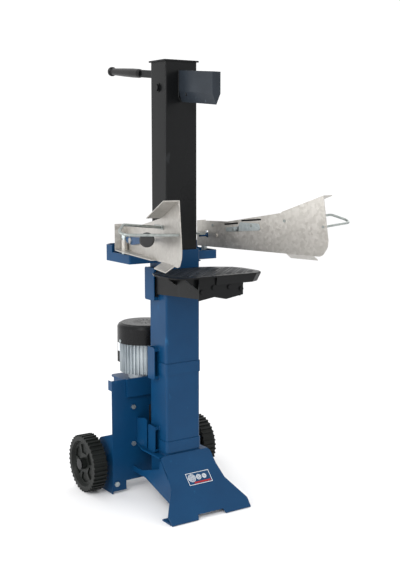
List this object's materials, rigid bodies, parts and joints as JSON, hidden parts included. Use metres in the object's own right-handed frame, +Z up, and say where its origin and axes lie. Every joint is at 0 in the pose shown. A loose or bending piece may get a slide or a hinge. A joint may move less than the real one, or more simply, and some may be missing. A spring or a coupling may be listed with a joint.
{
  "type": "log splitter",
  "caption": "Upright electric log splitter: a ram with a wedge slides down a column onto a table, between two swinging claw arms worked by hand levers, with a motor, pump and wheels behind.",
  "frame": {"origin": "on the ground, below the middle of the whole machine", "axes": "+Z up the column, -Y to the front where the log stands, +X to the machine's side that is on the right when it is seen from the front"},
  "size_m": [0.8432, 0.9002, 1.4922],
  "materials": {
    "blue_paint": "satin",
    "black_paint": "satin",
    "galvanised": "spangled",
    "zinc": "satin",
    "steel": "machined",
    "chromed": "polished",
    "cast_aluminium": "cast",
    "iron": "rough",
    "winding": "wound",
    "black_plastic": "grained",
    "grey_plastic": "moulded",
    "guide_plastic": "smooth",
    "green_plastic": "smooth",
    "red_plastic": "smooth",
    "grip_rubber": "ribbed"
  },
  "bodies": {
    "frame": {"arm_carrier": "blue_paint", "arm_posts": "steel", "axle": "zinc", "axle_cheeks": "blue_paint", "base_frame": "blue_paint", "bell_housing": "cast_aluminium", "column_tube": "blue_paint", "cylinder_barrel": "steel", "cylinder_ends": "steel", "fan_cover": "black_plastic", "frame_bolts": "zinc", "front_foot_plate": "blue_paint", "guide_liner": "guide_plastic", "lower_hooks": "blue_paint", "middle_hooks": "blue_paint", "motor_bearings": "steel", "motor_body": "cast_aluminium", "motor_end_shields": "cast_aluminium", "oil_filler_plug": "black_plastic", "oil_pipes": "zinc", "oil_tank": "blue_paint", "power_inlet": "black_plastic", "pump_body": "cast_aluminium", "pump_cover": "cast_aluminium", "rear_panel": "blue_paint", "spool_spring": "steel", "stator": "winding", "switch_box": "black_plastic", "tank_lid": "blue_paint", "upper_hooks": "blue_paint", "valve_block": "iron", "valve_cover": "blue_paint"},
    "ram": {"ram_tube": "black_paint", "ram_cap": "black_paint", "ram_slider": "guide_plastic", "piston_rod": "chromed", "rod_cross_bolt": "black_paint", "wedge": "black_paint", "handle_neck": "black_paint", "handle_grip": "black_plastic"},
    "table": {"table_plate": "black_paint", "table_support": "black_paint", "table_bolts": "black_paint"},
    "arm_left": {"left_arm": "galvanised", "left_hand_guard": "zinc"},
    "arm_right": {"right_arm": "galvanised", "right_hand_guard": "zinc"},
    "lever_left": {"left_lever": "blue_paint", "left_lever_grip": "grip_rubber"},
    "lever_right": {"right_lever": "blue_paint", "right_lever_grip": "grip_rubber"},
    "wheel_left": {"left_wheel": "grey_plastic"},
    "wheel_right": {"right_wheel": "grey_plastic"},
    "rotor": {"motor_shaft": "steel", "cooling_fan": "black_plastic", "drive_gear": "steel"},
    "pump_idler": {"driven_gear": "steel"},
    "control": {"control_rod": "zinc"},
    "start": {"start_button": "green_plastic"},
    "stop": {"stop_button": "red_plastic"}
  },
  "joints": [
    {"name": "ram_slide", "type": "slide", "parent": "frame", "child": "ram", "axis": [0, 0, -1], "range_m": [0, 0.46]},
    {"name": "table_lift", "type": "slide", "parent": "frame", "child": "table", "axis": [0, 0, 1], "range_m": [0, 0.028]},
    {"name": "left_arm_swing", "type": "hinge", "parent": "frame", "child": "arm_left", "pos_m": [-0.15864, 0.07597, 0.88], "axis": [0, 0, 1], "range_deg": [-12, 22]},
    {"name": "right_arm_swing", "type": "hinge", "parent": "frame", "child": "arm_right", "pos_m": [0.15864, 0.07597, 0.88], "axis": [0, 0, 1], "range_deg": [-22, 12]},
    {"name": "right_lever_press", "type": "hinge", "parent": "arm_right", "child": "lever_right", "pos_m": [0.16004, 0.00851, 0.901], "axis": [0.9737, 0.2277, 0], "range_deg": [0, 10], "stiffness_Nm_per_rad": 10, "springref_deg": -20.05},
    {"name": "left_lever_press", "type": "hinge", "parent": "arm_left", "child": "lever_left", "pos_m": [-0.16004, 0.00851, 0.901], "axis": [0.9737, -0.2277, 0], "range_deg": [0, 10], "stiffness_Nm_per_rad": 10, "springref_deg": -20.05},
    {"name": "control_rod_lift", "type": "slide", "parent": "frame", "child": "control", "axis": [0, 0, 1], "range_m": [0, 0.0074], "stiffness_N_per_m": 1000, "springref_m": -0.01, "deforming": ["spool_spring"]},
    {"name": "left_wheel_spin", "type": "hinge", "parent": "frame", "child": "wheel_left", "pos_m": [-0.227, 0.2372, 0.101], "axis": [1, 0, 0], "continuous": true},
    {"name": "right_wheel_spin", "type": "hinge", "parent": "frame", "child": "wheel_right", "pos_m": [0.227, 0.2372, 0.101], "axis": [1, 0, 0], "continuous": true},
    {"name": "motor_spin", "type": "hinge", "parent": "frame", "child": "rotor", "pos_m": [0, 0.2222, 0.45], "axis": [0, 0, 1], "continuous": true},
    {"name": "pump_idler_spin", "type": "hinge", "parent": "frame", "child": "pump_idler", "pos_m": [0.036, 0.2222, 0.28], "axis": [0, 0, 1], "continuous": true},
    {"name": "start_press", "type": "slide", "parent": "frame", "child": "start", "axis": [0, -1, 0], "range_m": [0, 0.003], "stiffness_N_per_m": 300, "springref_m": -0.004},
    {"name": "stop_press", "type": "slide", "parent": "frame", "child": "stop", "axis": [0, -1, 0], "range_m": [0, 0.003], "stiffness_N_per_m": 300, "springref_m": -0.004}
  ],
  "couplings": [
    {"joint": "left_lever_press", "follows": "right_lever_press", "ratio": 1},
    {"joint": "control_rod_lift", "follows": "right_lever_press", "m_per_rad": 0.042},
    {"joint": "pump_idler_spin", "follows": "motor_spin", "ratio": -1}
  ]
}
